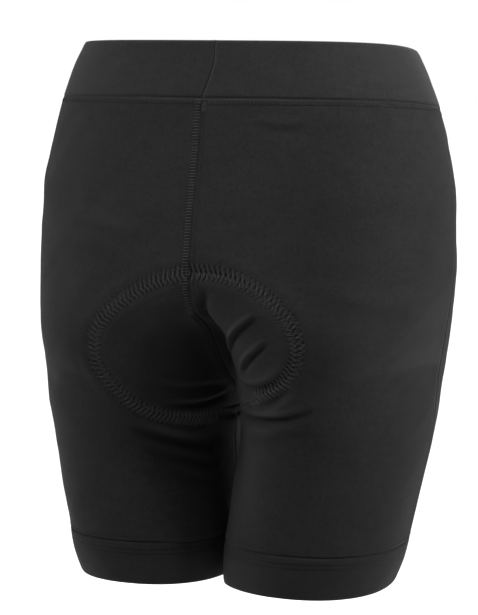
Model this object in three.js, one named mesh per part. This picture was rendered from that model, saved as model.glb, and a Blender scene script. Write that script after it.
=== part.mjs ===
// Cycling shorts, filled out as worn: waistband, two back and two front panels, two hem bands, seat pad.
// Millimetres. +Z is up, +Y is the wearer's back, +X the wearer's left. The origin is the centre of the
// waist opening, where the wearer's waist holds the shorts up.
import * as THREE from "three";

// Thickness of each cut piece, and the gaps between pieces that are sewn together and over the pad.
const clothWall = 1.5;
const bandWall = 2.2;
const hemWall = 2;
const padMiddle = 8;
const padRim = 2.5;
const seamGap = 0.3;
const halfGap = seamGap / 2;
const padGap = 0.6;

// Waistband: its heights, how high it stands at the centre back, and how far it drops to the centre front.
const bandHeight = 42;
const frontBandHeight = 47;
const backStand = 8;
const frontDrop = 40;
const dropPower = 3.2;
const sideSlant = 0.05;

// Levels that the panels' rows are laid between. The seat pad's rear edge lies at the seat level.
const seatLevel = -157;
const sideForkLevel = -236;
const hemSeamLevel = -376;
const hemBottomLevel = -409.5;

// Outer face of the cloth, from hem to waist, as two halves that run into each other above the fork.
// outer is a half's x at the side. seat and lap are its inner x behind and in front, negative where the
// halves overlap. back, front and widest are y. fillet rounds the crotch between the halves.
const sections = [
  { z: -430, outer: 118, seat: 8, lap: 8, back: 77, front: -56, widest: 14, fillet: 2 },
  { z: -408, outer: 126.5, seat: 4.5, lap: 4.5, back: 84.5, front: -64.5, widest: 14, fillet: 2 },
  { z: -395, outer: 131.5, seat: 2.5, lap: 2.5, back: 87.5, front: -68.5, widest: 13, fillet: 2 },
  { z: -370, outer: 137, seat: 3, lap: 3, back: 89, front: -73, widest: 11, fillet: 4 },
  { z: -330, outer: 145, seat: 6, lap: 6, back: 92, front: -81, widest: 8, fillet: 10 },
  { z: -298, outer: 150.5, seat: 9, lap: 9, back: 97, front: -89, widest: 4, fillet: 22 },
  { z: -272, outer: 154, seat: 8, lap: 8, back: 104, front: -95, widest: 0, fillet: 28 },
  { z: -250, outer: 155, seat: 4, lap: 0, back: 111, front: -100, widest: -10, fillet: 32 },
  { z: -228, outer: 158.5, seat: -3, lap: -30, back: 117, front: -105, widest: -14, fillet: 32 },
  { z: -207, outer: 161.5, seat: -18, lap: -66, back: 120, front: -109, widest: -14, fillet: 32 },
  { z: -190, outer: 164, seat: -57, lap: -100, back: 121, front: -111, widest: -11, fillet: 32 },
  { z: -160, outer: 167, seat: -130, lap: -145, back: 120, front: -113, widest: -5, fillet: 32 },
  { z: -120, outer: 166, seat: -166, lap: -166, back: 113, front: -113, widest: -2, fillet: 32 },
  { z: -80, outer: 161, seat: -161, lap: -161, back: 104, front: -109, widest: -1, fillet: 32 },
  { z: -40, outer: 151, seat: -151, lap: -151, back: 96, front: -102, widest: -1, fillet: 32 },
  { z: -20, outer: 143.5, seat: -143.5, lap: -143.5, back: 93, front: -97, widest: 0, fillet: 32 },
  { z: 0, outer: 134, seat: -134, lap: -134, back: 90, front: -92, widest: 0, fillet: 32 },
  { z: 25, outer: 120, seat: -120, lap: -120, back: 87, front: -86, widest: 0, fillet: 32 },
];
const roundness = 2.25;
const seatToLap = 50;
const filletFade = 40;
const sideSeamY = -9;

const columnNames = ["outer", "seat", "lap", "back", "front", "widest", "fillet"];
const sectionCurves = new THREE.CubicInterpolant(
  sections.map((s) => s.z),
  sections.flatMap((s) => columnNames.map((name) => s[name])),
  columnNames.length,
);

function sectionAt(z) {
  const values = sectionCurves.evaluate(z);
  return Object.fromEntries(columnNames.map((name, i) => [name, values[i]]));
}

// About how far (x, y) lies outside the half on the +X side, at a section's level.
function halfField(x, y, s, inner) {
  const centre = (s.outer + inner) / 2;
  const half = (s.outer - inner) / 2;
  const depth = y > s.widest ? s.back - s.widest : s.widest - s.front;
  const across = Math.abs((x - centre) / half) ** roundness;
  const along = Math.abs((y - s.widest) / depth) ** roundness;
  const scale = (half + (s.back - s.front) / 2) / 2;
  return ((across + along) ** (1 / roundness) - 1) * scale;
}

// The form that both halves make together, negative inside, with a fillet where they meet.
function field(p) {
  const s = sectionAt(p.z);
  const inner = THREE.MathUtils.lerp(s.lap, s.seat, THREE.MathUtils.smoothstep(p.y, -seatToLap, seatToLap));
  const near = halfField(Math.abs(p.x), p.y, s, inner);
  const far = halfField(-Math.abs(p.x), p.y, s, inner);
  const fillet = s.fillet * Math.exp(Math.min(inner, 0) / filletFade);
  const overlap = Math.max(fillet - Math.abs(near - far), 0) / fillet;
  return Math.min(near, far) - (overlap * overlap * fillet) / 4;
}

function normalAt(p) {
  const step = 0.4;
  const slope = (axis) => {
    const ahead = p.clone();
    const behind = p.clone();
    ahead[axis] += step;
    behind[axis] -= step;
    return field(ahead) - field(behind);
  };
  return new THREE.Vector3(slope("x"), slope("y"), slope("z")).normalize();
}

const castStride = 4;
const castHalvings = 24;
const middleSlack = 1e-6;

// The point where a ray from inside the left half meets its surface, or the middle plane that ends it.
function cast(from, direction) {
  const unit = direction.clone().normalize();
  const at = (reach) => from.clone().addScaledVector(unit, reach);
  const inside = (p) => p.x > -middleSlack && field(p) < 0;
  let low = 0;
  while (inside(at(low + castStride))) low += castStride;
  let high = low + castStride;
  for (let i = 0; i < castHalvings; i++) {
    const middle = (low + high) / 2;
    if (inside(at(middle))) low = middle;
    else high = middle;
  }
  return at(low);
}

// A line of points with the length run at each, and the point at any length along it.
class Polyline {
  constructor(points) {
    this.points = points;
    let run = 0;
    this.runs = points.map((p, i) => (run += i ? p.distanceTo(points[i - 1]) : 0));
    this.length = run;
  }

  at(reach) {
    let i = 1;
    while (i < this.points.length - 1 && this.runs[i] < reach) i++;
    const share = (reach - this.runs[i - 1]) / (this.runs[i] - this.runs[i - 1]);
    return this.points[i - 1].clone().lerp(this.points[i], share);
  }
}

// A point of the torso by its turn from the centre back (0) over the left side to the centre front (pi).
function torsoPoint(turn, z) {
  return cast(new THREE.Vector3(0, 0, z), new THREE.Vector3(Math.sin(turn), Math.cos(turn), 0));
}

// The band slopes over the hips, so it stands less high there.
function bandLevel(turn, share) {
  const toFront = 0.5 - 0.5 * Math.cos(turn);
  const upright = 1 - sideSlant * Math.sin(turn) ** 2;
  const height = THREE.MathUtils.lerp(bandHeight, frontBandHeight, toFront) * upright;
  return backStand - frontDrop * toFront ** dropPower - height * share;
}

// The seat seam from the seat level at the back, through the crotch, to the same level in front.
const riseSteps = 180;
const risePivot = new THREE.Vector3(0, 5, seatLevel);
const rise = Array.from({ length: riseSteps + 1 }, (_, i) => {
  const dip = (Math.PI * i) / riseSteps;
  return cast(risePivot, new THREE.Vector3(0, Math.cos(dip), -Math.sin(dip)));
});
const lowest = rise.reduce((best, p, i) => (p.z < rise[best].z ? i : best), 0);
const fork = rise[lowest];
const backRise = new Polyline(rise.slice(0, lowest + 1));
const frontRise = new Polyline(rise.slice(lowest).reverse());

// Rows of points round the left half, each from its back inner end over the side to its front inner end.
const samples = 200;
const torsoRows = 7;
const forkRows = 13;
const legRows = 11;
const legSpread = 1.14;
const leanPower = 3;
const leanSwell = 2;
const frontSwellPower = 3;

function torsoRow(share) {
  const points = Array.from({ length: samples + 1 }, (_, i) => {
    const turn = (Math.PI * i) / samples;
    return torsoPoint(turn, THREE.MathUtils.lerp(bandLevel(turn, 1) - seamGap, seatLevel, share));
  });
  return new Polyline(points);
}

// How much of its whole lean a row has at a turn from the side (0) to the inner side (pi).
function leanAt(turn, swell) {
  return (0.5 - 0.5 * Math.cos(turn)) ** leanPower * (1 + swell * Math.sin(turn) ** 2);
}

// A row that leans from its side level to ends that lie lower, on the seat seam or the inseam.
function leaningRow(backEnd, frontEnd, anchor, frontSwell) {
  const lean = (end, way, swell) => {
    const to = end.clone().sub(anchor);
    const turn = THREE.MathUtils.euclideanModulo(way * Math.atan2(to.y, to.x), 2 * Math.PI);
    return { turn: way * turn, swell, slope: to.z / Math.hypot(to.x, to.y) / leanAt(turn, swell) };
  };
  const back = lean(backEnd, 1, leanSwell);
  const front = lean(frontEnd, -1, frontSwell);
  const points = Array.from({ length: samples + 1 }, (_, i) => {
    if (i === 0) return backEnd;
    if (i === samples) return frontEnd;
    const turn = THREE.MathUtils.lerp(back.turn, front.turn, i / samples);
    const way = turn > 0 ? back : front;
    return cast(anchor, new THREE.Vector3(Math.cos(turn), Math.sin(turn), way.slope * leanAt(turn, way.swell)));
  });
  return new Polyline(points);
}

function forkRow(share) {
  const sideZ = THREE.MathUtils.lerp(seatLevel, sideForkLevel, share);
  const anchor = new THREE.Vector3(sectionAt(fork.z).outer / 2, sectionAt(sideZ).widest, sideZ);
  const backEnd = backRise.at(share * backRise.length);
  const frontEnd = frontRise.at(share * frontRise.length);
  return leaningRow(backEnd, frontEnd, anchor, leanSwell * share ** frontSwellPower);
}

function legRow(share) {
  const innerZ = THREE.MathUtils.lerp(fork.z, hemSeamLevel, share);
  const sideZ = THREE.MathUtils.lerp(sideForkLevel, hemSeamLevel, share);
  const s = sectionAt(innerZ);
  const inseamY = THREE.MathUtils.lerp(fork.y, s.widest, share);
  const middle = new THREE.Vector3((s.outer + s.seat) / 2, inseamY, innerZ);
  const inseam = cast(middle, new THREE.Vector3(-1, 0, 0));
  const side = sectionAt(sideZ);
  const anchor = new THREE.Vector3((side.outer + side.seat) / 2, side.widest, sideZ);
  return leaningRow(inseam, inseam, anchor, leanSwell);
}

const rows = [
  ...Array.from({ length: torsoRows }, (_, i) => torsoRow(i / torsoRows)),
  ...Array.from({ length: forkRows + 1 }, (_, i) => forkRow(i / forkRows)),
  ...Array.from({ length: legRows }, (_, i) => legRow(((i + 1) / legRows) ** legSpread)),
];

// Lengths from the inner ends of the rows to the seat pad's edge, on the back panels and in front. Row 0 is
// the pad's rear edge and row 15 its lowest, on the inner thighs. The pad sits askew, lower on the left.
const padEdges = [
  { row: -7, left: 60, right: 60, front: 40 },
  { row: 0, left: 24, right: 30, front: 15 },
  { row: 1, left: 40, right: 56, front: 15 },
  { row: 2, left: 54, right: 68, front: 15 },
  { row: 3, left: 65, right: 78, front: 18 },
  { row: 4, left: 74, right: 87, front: 30 },
  { row: 7, left: 101, right: 111, front: 43 },
  { row: 9, left: 117, right: 124, front: 46 },
  { row: 10, left: 123, right: 126, front: 47 },
  { row: 11, left: 130, right: 120, front: 48 },
  { row: 12, left: 134, right: 108, front: 50 },
  { row: 13, left: 132, right: 94, front: 50 },
  { row: 14, left: 114, right: 79, front: 48 },
  { row: 15, left: 88, right: 62, front: 45 },
  { row: 24, left: 75, right: 75, front: 50 },
];
const padFrontRow = 3;
const padLastRow = 15;
const padTaperRows = 2.5;
const padEdgeNames = ["left", "right", "front"];
const padEdgeCurves = new THREE.LinearInterpolant(
  padEdges.map((edge) => edge.row),
  padEdges.flatMap((edge) => padEdgeNames.map((name) => edge[name])),
  padEdgeNames.length,
);

// Largest folds, as soft ridges (height above 0) and troughs (below 0) along a line from a to b.
const folds = [
  { side: 1, ax: 57, ay: 96, az: -284, bx: 14, by: 40, bz: -302, height: -2.5, width: 9 },
  { side: -1, ax: -86, ay: 110, az: -243, bx: -34, by: 84, bz: -268, height: -1.5, width: 10 },
  { side: -1, ax: -80, ay: 108, az: -257, bx: -32, by: 80, bz: -281, height: 1, width: 10 },
  { side: -1, ax: -50, ay: 121, az: -190, bx: -35, by: 113, bz: -207, height: 2, width: 8 },
  { side: -1, ax: -61, ay: 119, az: -211, bx: -42, by: 110, bz: -226, height: 2, width: 8 },
];
const foldStart = 8;

function foldHeight(p, side) {
  const point = new THREE.Vector3(p.x * side, p.y, p.z);
  const nearest = new THREE.Vector3();
  const shaped = folds.filter((fold) => fold.side === side).map((fold) => {
    const start = new THREE.Vector3(fold.ax, fold.ay, fold.az);
    const line = new THREE.Line3(start, new THREE.Vector3(fold.bx, fold.by, fold.bz));
    const reach = line.closestPointToPoint(point, true, nearest).distanceTo(point) / fold.width;
    return fold.height * Math.exp(-reach * reach);
  });
  return shaped.reduce((sum, height) => sum + height, 0) * THREE.MathUtils.smoothstep(p.x, 0, foldStart);
}

// An outer and an inner point under the surface point p of the left half, on the side given.
function layer(p, side, depth, thickness) {
  const normal = normalAt(p);
  const outer = p.clone().addScaledVector(normal, foldHeight(p, side) - depth);
  const inner = outer.clone().addScaledVector(normal, -thickness);
  outer.x *= side;
  inner.x *= side;
  return { outer, inner };
}

const weldSteps = 1000;

// Closes patches of outer and inner points into one wall. Patches that share points are joined there.
function wallGeometry(patches) {
  const ids = new Map();
  const points = [];
  const idOf = ({ outer, inner }) => {
    const key = outer.toArray().map((value) => Math.round(value * weldSteps)).join();
    if (!ids.has(key)) {
      ids.set(key, points.length);
      points.push(outer, inner);
    }
    return ids.get(key);
  };
  const indices = [];
  const openEdges = new Map();
  for (const { grid, turned } of patches) {
    for (let i = 1; i < grid.length; i++) {
      for (let j = 1; j < grid[i].length; j++) {
        const round = turned ? [grid[i][j - 1], grid[i - 1][j]] : [grid[i - 1][j], grid[i][j - 1]];
        const corners = [grid[i - 1][j - 1], round[0], grid[i][j], round[1]].map(idOf);
        const [a, b, c, d] = corners;
        indices.push(a, b, c, a, c, d, a + 1, c + 1, b + 1, a + 1, d + 1, c + 1);
        corners.forEach((from, k) => {
          const to = corners[(k + 1) % 4];
          if (!openEdges.delete(`${to} ${from}`)) openEdges.set(`${from} ${to}`, [from, to]);
        });
      }
    }
  }
  for (const [from, to] of openEdges.values()) indices.push(to, from, from + 1, to, from + 1, to + 1);
  const geometry = new THREE.BufferGeometry();
  const coordinates = points.flatMap((p) => p.toArray());
  geometry.setAttribute("position", new THREE.Float32BufferAttribute(coordinates, 3));
  geometry.setIndex(indices);
  return geometry;
}

const spread = (count, power) => Array.from({ length: count + 1 }, (_, i) => (i / count) ** power);
const innerPower = 1.25;
const backInnerColumns = 9;
const backSideColumns = 9;
const frontInnerColumns = 5;
const frontSideColumns = 8;

// Every row reaches the side seam somewhere after this sample.
const seamSearchStart = 50;

// One part of a row, from its inner end to the side seam: the point at a length, and that whole length.
function partOfRow(row, isBack) {
  let i = seamSearchStart;
  while (row.points[i].y > sideSeamY) i++;
  const step = (row.points[i - 1].y - sideSeamY) / (row.points[i - 1].y - row.points[i].y);
  const seam = row.runs[i - 1] + step * (row.runs[i] - row.runs[i - 1]);
  if (isBack) return { at: (reach) => row.at(reach), length: seam };
  return { at: (reach) => row.at(row.length - reach), length: row.length - seam };
}

function padReach(i, isBack, side) {
  const [left, right, front] = padEdgeCurves.evaluate(i - torsoRows);
  const back = side > 0 ? left : right;
  return isBack ? back : front;
}

// Lengths along one part of row i where its points lie, from the inner end to the seat pad's edge.
function innerReaches(i, isBack, side) {
  const columns = isBack ? backInnerColumns : frontInnerColumns;
  const edge = padReach(i, isBack, side);
  return spread(columns, innerPower).map((share) => THREE.MathUtils.lerp(halfGap, edge, share));
}

function panelGeometry(isBack, side) {
  const sideColumns = spread(isBack ? backSideColumns : frontSideColumns, 1).slice(1);
  const grid = rows.map((row, i) => {
    const part = partOfRow(row, isBack);
    const edge = padReach(i, isBack, side);
    const outerReaches = sideColumns.map((share) => THREE.MathUtils.lerp(edge, part.length - halfGap, share));
    const reaches = [...innerReaches(i, isBack, side), ...outerReaches];
    return reaches.map((reach) => {
      const p = part.at(reach);
      p.x = Math.max(p.x, halfGap);
      return layer(p, side, 0, clothWall);
    });
  });
  return wallGeometry([{ grid, turned: isBack === side < 0 }]);
}

// The pad lies inside the panels, on their own points as far as its edge, and thins towards that edge.
function padGeometry() {
  const patches = [1, -1].flatMap((side) =>
    [true, false].map((isBack) => {
      const firstRow = isBack ? 0 : padFrontRow;
      const count = padLastRow - firstRow + 1;
      const grid = Array.from({ length: count }, (_, k) => {
        const i = torsoRows + firstRow + k;
        const part = partOfRow(rows[i], isBack);
        const rowRim = 1 - Math.min(k, count - 1 - k) / padTaperRows;
        return innerReaches(i, isBack, side).map((reach, j, reaches) => {
          const rim = Math.max(j / (reaches.length - 1), rowRim);
          const thickness = THREE.MathUtils.lerp(padMiddle, padRim, rim ** 3);
          return layer(part.at(j ? reach : 0), side, clothWall + padGap, thickness);
        });
      });
      return { grid, turned: isBack === side < 0 };
    }),
  );
  return wallGeometry(patches);
}

const bandColumns = 30;
const bandRows = 3;

function waistbandGeometry() {
  const bandLines = spread(bandRows, 1).map((share) => {
    const points = Array.from({ length: samples + 1 }, (_, i) => {
      const turn = (Math.PI * i) / samples;
      return torsoPoint(turn, bandLevel(turn, share));
    });
    return new Polyline(points);
  });
  const patches = [1, -1].map((side) => ({
    grid: bandLines.map((line) =>
      spread(bandColumns, 1).map((share) => {
        return layer(line.at(THREE.MathUtils.lerp(halfGap, line.length, share)), side, 0, bandWall);
      }),
    ),
    turned: side < 0,
  }));
  return wallGeometry(patches);
}

const hemColumns = 40;
const hemRows = 3;

function hemGeometry(side) {
  const grid = spread(hemRows, 1).map((share) => {
    const z = THREE.MathUtils.lerp(hemSeamLevel - seamGap, hemBottomLevel, share);
    const s = sectionAt(z);
    const centre = new THREE.Vector3((s.outer + s.seat) / 2, s.widest, z);
    return spread(hemColumns, 1).map((share) => {
      const turn = 2 * Math.PI * share;
      return layer(cast(centre, new THREE.Vector3(Math.sin(turn), Math.cos(turn), 0)), side, 0, hemWall);
    });
  });
  return wallGeometry([{ grid, turned: side < 0 }]);
}

const clothMaterial = new THREE.MeshStandardMaterial({ color: 0x2c2c2e, roughness: 0.75, metalness: 0 });
const bandMaterial = new THREE.MeshStandardMaterial({ color: 0x303032, roughness: 0.8, metalness: 0 });
const padMaterial = new THREE.MeshStandardMaterial({ color: 0x1d1d1f, roughness: 0.9, metalness: 0 });

function piece(name, geometry, material) {
  const mesh = new THREE.Mesh(geometry, material);
  mesh.name = name;
  return mesh;
}

const shorts = new THREE.Group();
shorts.add(
  piece("waistband", waistbandGeometry(), bandMaterial),
  piece("back_left", panelGeometry(true, 1), clothMaterial),
  piece("back_right", panelGeometry(true, -1), clothMaterial),
  piece("front_left", panelGeometry(false, 1), clothMaterial),
  piece("front_right", panelGeometry(false, -1), clothMaterial),
  piece("hem_left", hemGeometry(1), bandMaterial),
  piece("hem_right", hemGeometry(-1), bandMaterial),
  piece("seat_pad", padGeometry(), padMaterial),
);

export default shorts;
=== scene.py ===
import math
import random

import bmesh
import bpy
import numpy as np
from mathutils import Matrix, Vector
from mathutils.bvhtree import BVHTree
from mathutils.kdtree import KDTree


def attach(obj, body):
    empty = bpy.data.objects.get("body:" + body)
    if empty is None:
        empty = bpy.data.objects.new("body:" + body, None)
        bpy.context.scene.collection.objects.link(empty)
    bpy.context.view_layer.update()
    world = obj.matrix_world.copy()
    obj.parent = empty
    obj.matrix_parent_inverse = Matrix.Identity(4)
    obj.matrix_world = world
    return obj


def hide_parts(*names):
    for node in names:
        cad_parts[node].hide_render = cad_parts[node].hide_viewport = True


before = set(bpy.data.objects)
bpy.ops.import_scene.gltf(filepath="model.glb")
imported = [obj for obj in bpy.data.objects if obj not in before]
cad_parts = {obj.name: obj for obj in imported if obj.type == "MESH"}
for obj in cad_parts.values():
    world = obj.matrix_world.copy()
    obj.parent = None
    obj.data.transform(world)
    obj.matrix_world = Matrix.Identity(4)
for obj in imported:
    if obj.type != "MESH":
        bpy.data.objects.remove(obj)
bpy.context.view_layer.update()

mm = 0.001
print("frame loaded")


view = {
    "turn": 201,  # degrees, seen from behind and a little from the right
    "height": 6.6,
    "roll": 0.5,
    "target": (3.8, 5, -200),
    "distance": 1710,
    "lens": 127.14,
    "filmHeight": 36,
    "farthest": 100,  # metres
}


def addCamera():
    turn, height = math.radians(view["turn"]), math.radians(view["height"])
    level = math.cos(height)
    back = Vector((math.sin(turn) * level, -math.cos(turn) * level, math.sin(height)))
    eye = (Vector(view["target"]) + back * view["distance"]) * mm
    right = (-back).cross(Vector((0, 0, 1))).normalized()
    up = right.cross(-back)
    roll = math.radians(view["roll"])
    across = right * math.cos(roll) + up * math.sin(roll)
    along = up * math.cos(roll) - right * math.sin(roll)
    data = bpy.data.cameras.new("camera")
    data.sensor_fit = "VERTICAL"
    data.sensor_height = view["filmHeight"]
    data.lens = view["lens"]
    data.clip_end = view["farthest"]
    camera = bpy.data.objects.new("camera", data)
    bpy.context.scene.collection.objects.link(camera)
    turned = Matrix((across, along, back)).transposed()
    camera.matrix_world = Matrix.Translation(eye) @ turned.to_4x4()
    bpy.context.scene.camera = camera


room = {
    "floorLevel": -700,
    "floorSize": 60,
    "floorColour": (0.9, 0.9, 0.9, 1),
    "skyStops": ((0, (1, 1, 1, 1)), (0.54, (1, 1, 1, 1)),
                 (0.57, (0.15, 0.15, 0.15, 1)), (1, (0.1, 0.1, 0.1, 1))),
    "overhead": 2.1,
    "overheadSpread": 25,
}

# Soft boxes: place and aim in millimetres, size in metres, power in watts.
softBoxes = [
    {"name": "keyLight", "at": (1550, 760, 860), "aim": (30, 50, -50),
     "size": 0.9, "power": 9.5, "spread": 50},
    {"name": "sideLight", "at": (-1700, 180, 720), "aim": (-60, 10, 20),
     "size": 0.6, "power": 12, "spread": 46},
    {"name": "fillLight", "at": (-900, 1700, 600), "aim": (-60, 60, -200),
     "size": 0.9, "power": 1.3, "spread": 180},
    {"name": "frontLight", "at": (300, -1800, 900), "aim": (0, -60, -60),
     "size": 1.0, "power": 10, "spread": 90},
]


def addRoom():
    grid = bmesh.new()
    bmesh.ops.create_grid(grid, x_segments=1, y_segments=1, size=room["floorSize"] / 2)
    bmesh.ops.translate(grid, verts=grid.verts, vec=(0, 0, room["floorLevel"] * mm))
    floor = addMesh("floor", grid)
    floor.data.materials.append(floorMaterial())
    bpy.context.scene.world = studioSky()
    bpy.context.scene.view_settings.view_transform = "Standard"
    sun = bpy.data.lights.new("overhead", "SUN")
    sun.energy = room["overhead"]
    sun.angle = math.radians(room["overheadSpread"])
    bpy.context.scene.collection.objects.link(bpy.data.objects.new("overhead", sun))
    for box in softBoxes:
        data = bpy.data.lights.new(box["name"], "AREA")
        data.shape = "SQUARE"
        data.size = box["size"]
        data.energy = box["power"]
        data.spread = math.radians(box["spread"])
        light = bpy.data.objects.new(box["name"], data)
        place = Vector(box["at"]) * mm
        aim = Vector(box["aim"]) * mm - place
        light.matrix_world = Matrix.Translation(place) @ aim.to_track_quat("-Z", "Y").to_matrix().to_4x4()
        bpy.context.scene.collection.objects.link(light)


class Value:
    # a socket that Python sums can use
    def __init__(self, shader, socket):
        self.shader = shader
        self.socket = socket

    def maths(self, operation, first, second=None):
        inputs = {0: first} if second is None else {0: first, 1: second}
        made = self.shader.node("ShaderNodeMath", {"operation": operation}, inputs)
        return Value(self.shader, made.outputs[0])

    def __add__(self, other):
        return self.maths("ADD", self, other)

    def __radd__(self, other):
        return self.maths("ADD", other, self)

    def __sub__(self, other):
        return self.maths("SUBTRACT", self, other)

    def __rsub__(self, other):
        return self.maths("SUBTRACT", other, self)

    def __mul__(self, other):
        return self.maths("MULTIPLY", self, other)

    def __rmul__(self, other):
        return self.maths("MULTIPLY", other, self)

    def __truediv__(self, other):
        return self.maths("DIVIDE", self, other)

    def __pow__(self, other):
        return self.maths("POWER", self, other)

    def __abs__(self):
        return self.maths("ABSOLUTE", self)

    def sine(self):
        return self.maths("SINE", self)

    def fraction(self):
        return self.maths("FRACT", self)

    def atMost(self, limit):
        return self.maths("MINIMUM", self, limit)

    def atLeast(self, limit):
        return self.maths("MAXIMUM", self, limit)


class Shader:
    # the nodes of one material, or of the sky
    def __init__(self, owner):
        self.owner = owner
        owner.use_nodes = True
        self.tree = owner.node_tree
        self.tree.nodes.clear()

    def node(self, kind, settings, sockets):
        made = self.tree.nodes.new(kind)
        for name, value in settings.items():
            if name == "stops":
                for place, colour in value:
                    made.color_ramp.elements.new(place).color = colour
                made.color_ramp.elements.remove(made.color_ramp.elements[-1])
                made.color_ramp.elements.remove(made.color_ramp.elements[0])
            else:
                setattr(made, name, value)
        for name, value in sockets.items():
            if isinstance(value, Value):
                self.tree.links.new(value.socket, made.inputs[name])
            else:
                made.inputs[name].default_value = value
        return made

    def value(self, made, output):
        return Value(self, made.outputs[output])

    def mixed(self, share, first, second):
        # a Mix node's colours are its inputs 6 and 7 and its output 2
        made = self.node("ShaderNodeMix", {"data_type": "RGBA"}, {"Factor": share, 6: first, 7: second})
        return self.value(made, 2)

    def finish(self, surface, output="ShaderNodeOutputMaterial"):
        self.node(output, {}, {"Surface": surface})
        return self.owner


def studioSky():
    # white round the horizon and dimmer overhead
    shader = Shader(bpy.data.worlds.new("studio"))
    place = shader.node("ShaderNodeTexCoord", {}, {})
    split = shader.node("ShaderNodeSeparateXYZ", {}, {"Vector": shader.value(place, "Generated")})
    height = shader.value(split, "Z") * 0.5 + 0.5
    ramp = shader.node("ShaderNodeValToRGB", {"stops": room["skyStops"]}, {"Fac": height})
    light = shader.node("ShaderNodeBackground", {}, {"Color": shader.value(ramp, "Color")})
    return shader.finish(shader.value(light, "Background"), "ShaderNodeOutputWorld")


def floorMaterial():
    shader = Shader(bpy.data.materials.new("paleFloor"))
    paint = shader.node("ShaderNodeBsdfDiffuse", {}, {"Color": room["floorColour"]})
    return shader.finish(shader.value(paint, "BSDF"))


def addMesh(name, built):
    data = bpy.data.meshes.new(name)
    built.to_mesh(data)
    built.free()
    piece = bpy.data.objects.new(name, data)
    bpy.context.scene.collection.objects.link(piece)
    return piece


mergeReach = 0.01 * mm
panels = ("back_left", "back_right", "front_left", "front_right")
halfLine = 0.2 * mm  # a vertex this near the middle plane is on it
rimSlack = 0.003 * mm
tangentStep = 2 * mm


def inOrder(elements):
    # a set of mesh elements in the mesh's own order, so that each run gives the same result
    return sorted(elements, key=lambda element: element.index)


def partsBySize(built):
    left, parts = set(built.faces), []
    while left:
        part, queue = [], [left.pop()]
        while queue:
            face = queue.pop()
            part.append(face)
            for edge in face.edges:
                for other in edge.link_faces:
                    if other in left:
                        left.remove(other)
                        queue.append(other)
        parts.append(part)
    return sorted(parts, key=lambda part: -sum(face.calc_area() for face in part))


def outerQuads(nodeName, axis, wall):
    # a wall's rim faces are the ones with an edge as long as the wall is thick
    built = bmesh.new()
    built.from_mesh(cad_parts[nodeName].data)
    bmesh.ops.remove_doubles(built, verts=built.verts, dist=mergeReach)
    isRim = lambda edge: abs(edge.calc_length() - wall) < rimSlack
    rims = {face for edge in built.edges if isRim(edge) for face in edge.link_faces}
    built.faces.index_update()
    bmesh.ops.delete(built, geom=inOrder(rims), context="FACES")
    level = Vector((1, 1, 0))
    outwards = lambda part: sum(
        face.calc_area() * face.normal.dot((face.calc_center_median() - axis) * level) for face in part
    )
    outer = set(max(partsBySize(built)[:2], key=outwards))
    bmesh.ops.delete(built, geom=[face for face in built.faces if face not in outer], context="FACES")
    dissolveDiagonals(built)
    return built


def dissolveDiagonals(built):
    # each pair of triangles shares a diagonal, and diagonals lie the same way in neighbouring pairs
    length = {edge: edge.calc_length() for edge in built.edges}
    crossable = lambda edge: len(edge.link_faces) == 2 and max(abs(v.co.x) for v in edge.verts) > halfLine

    def slant(face):
        short, middle, long = sorted(length[edge] for edge in face.edges)
        return abs(long / middle - math.sqrt(2)) + abs(middle / short - 1)

    built.faces.index_update()
    built.edges.index_update()
    diagonals, left = set(), set(built.faces)
    while left:
        start = min(inOrder(left), key=slant)
        left.remove(start)
        queue = [(start, max(start.edges, key=lambda e: length[e]))]
        while queue:
            face, diagonal = queue.pop()
            diagonals.add(diagonal)
            for edge in face.edges:
                others = [f for f in edge.link_faces if f is not face]
                if not others or others[0] not in left or not crossable(edge):
                    continue
                other = others[0]
                left.remove(other)
                if edge is diagonal:
                    queue.append((other, edge))
                    continue
                shared = next(v for v in edge.verts if v in diagonal.verts)
                far = edge.other_vert(shared)
                queue.append((other, next(e for e in other.edges if far in e.verts and e is not edge)))
    bmesh.ops.dissolve_edges(built, edges=inOrder(diagonals), use_verts=False)


def gridPlaces(built):
    # column and row of every face corner, found by walking from quad to quad
    # the outermost quad is the start, so that a closed band begins and ends on the leg's inner side
    start = max(built.faces, key=lambda face: abs(face.calc_center_median().x))
    places = {start: dict(zip(start.verts, ((0, 0), (1, 0), (1, 1), (0, 1))))}
    queue = [start]
    beside = lambda face, vert, edge: next(
        e.other_vert(vert) for e in face.edges if vert in e.verts and e is not edge
    )
    while queue:
        face = queue.pop(0)
        known = places[face]
        for edge in face.edges:
            for other in edge.link_faces:
                if other in places:
                    continue
                spots = {}
                for vert in edge.verts:
                    here, there = known[vert], known[beside(face, vert, edge)]
                    spots[vert] = here
                    spots[beside(other, vert, edge)] = (2 * here[0] - there[0], 2 * here[1] - there[1])
                places[other] = spots
                queue.append(other)
    return places


def runsAlong(grid, axis):
    steps = np.linalg.norm(np.diff(grid, axis=axis), axis=-1)
    start = np.zeros_like(np.take(grid[..., 0], [0], axis))
    return np.concatenate([start, np.cumsum(steps, axis=axis)], axis=axis)


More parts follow.
